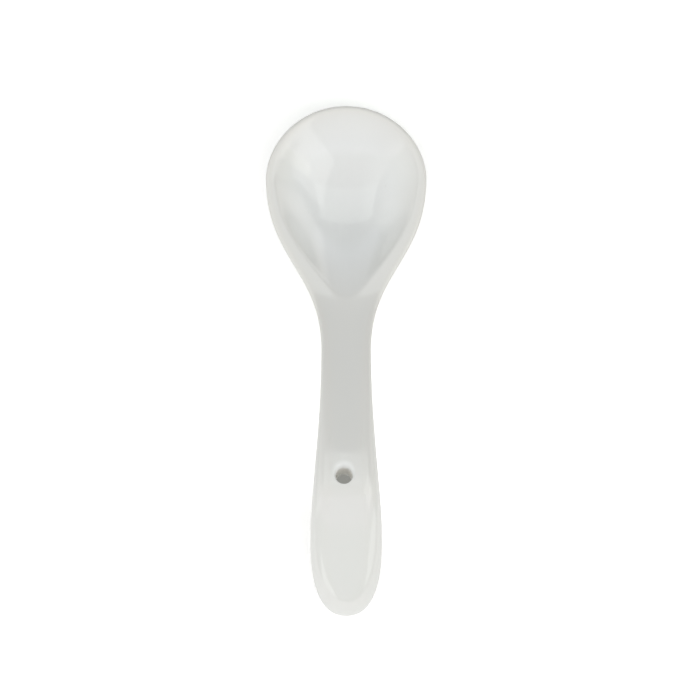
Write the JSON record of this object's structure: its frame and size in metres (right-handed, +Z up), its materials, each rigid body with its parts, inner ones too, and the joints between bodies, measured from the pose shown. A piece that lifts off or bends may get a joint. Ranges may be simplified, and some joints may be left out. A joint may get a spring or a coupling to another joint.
{
  "type": "soup spoon",
  "caption": "White porcelain soup spoon with a pear-shaped bowl, a flat foot, an arched handle with a plump end and a round hanging hole; it lies level on a table.",
  "frame": {"origin": "on the flat foot at table level, below the deepest place of the bowl", "axes": "+Y along the spoon towards the tip of the bowl, +X to the right when looked at from above with the tip away, +Z up"},
  "size_m": [0.044, 0.14, 0.0271],
  "materials": {
    "porcelain": "matte",
    "glaze": "gloss"
  },
  "bodies": {
    "root": {"bowl": "porcelain", "handle": "porcelain", "glaze_coat": "glaze"}
  },
  "joints": []
}
